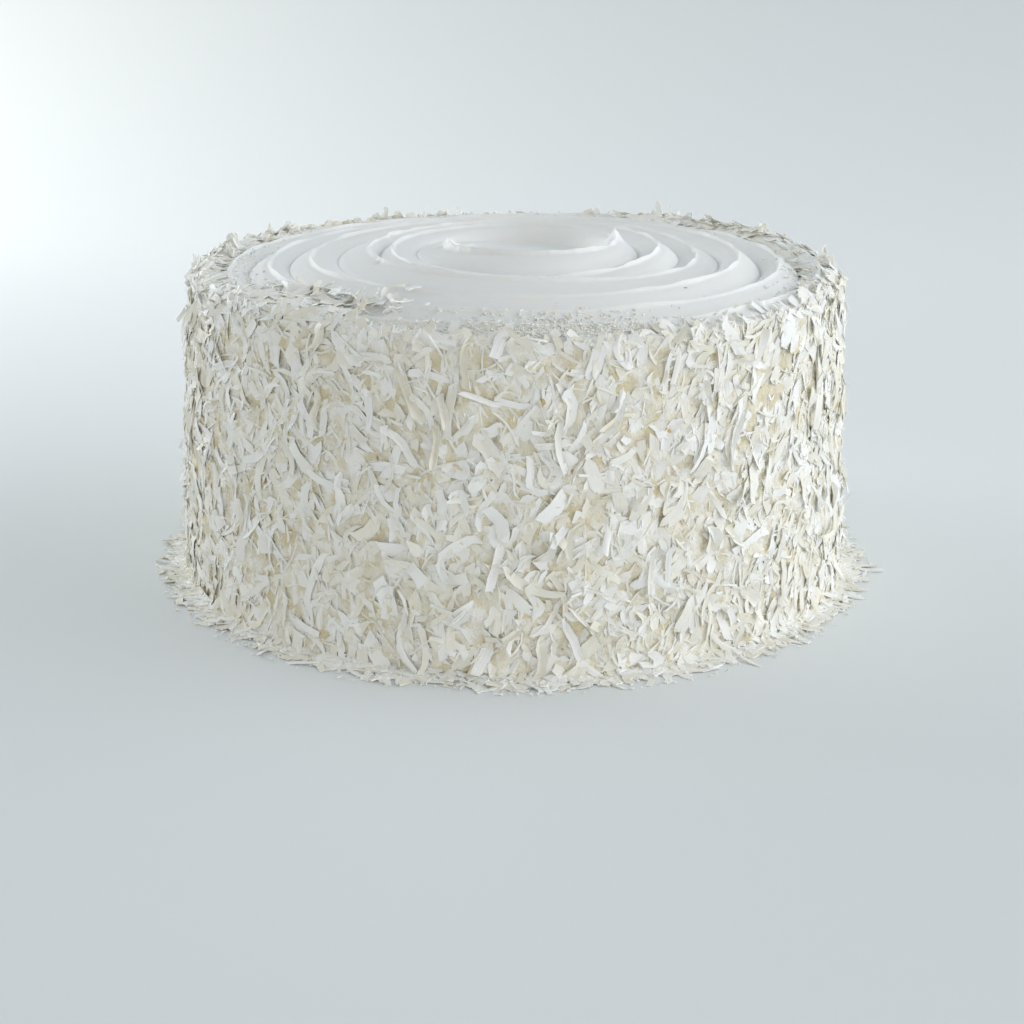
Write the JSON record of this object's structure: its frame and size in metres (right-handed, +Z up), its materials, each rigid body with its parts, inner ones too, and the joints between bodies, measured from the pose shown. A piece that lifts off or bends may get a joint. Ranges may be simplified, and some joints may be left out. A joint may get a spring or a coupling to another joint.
{
  "type": "coconut cream cake",
  "caption": "Round layer cake, whole and uncut, with a spatula-swirled whipped cream top and a side and rim coated in shredded coconut.",
  "frame": {"origin": "middle of the flat base that the cake stands on", "axes": "+Z up through the middle of the top; +X towards the side where the innermost ridge of the swirl is drawn up into a small peak; the cake is seen in the picture from -Y"},
  "size_m": [0.2234, 0.2194, 0.1025],
  "materials": {
    "whipped_cream": "satin",
    "shredded_coconut": "matte"
  },
  "bodies": {
    "root": {"cream_cake": "whipped_cream", "coconut_coat": "shredded_coconut"}
  },
  "joints": []
}
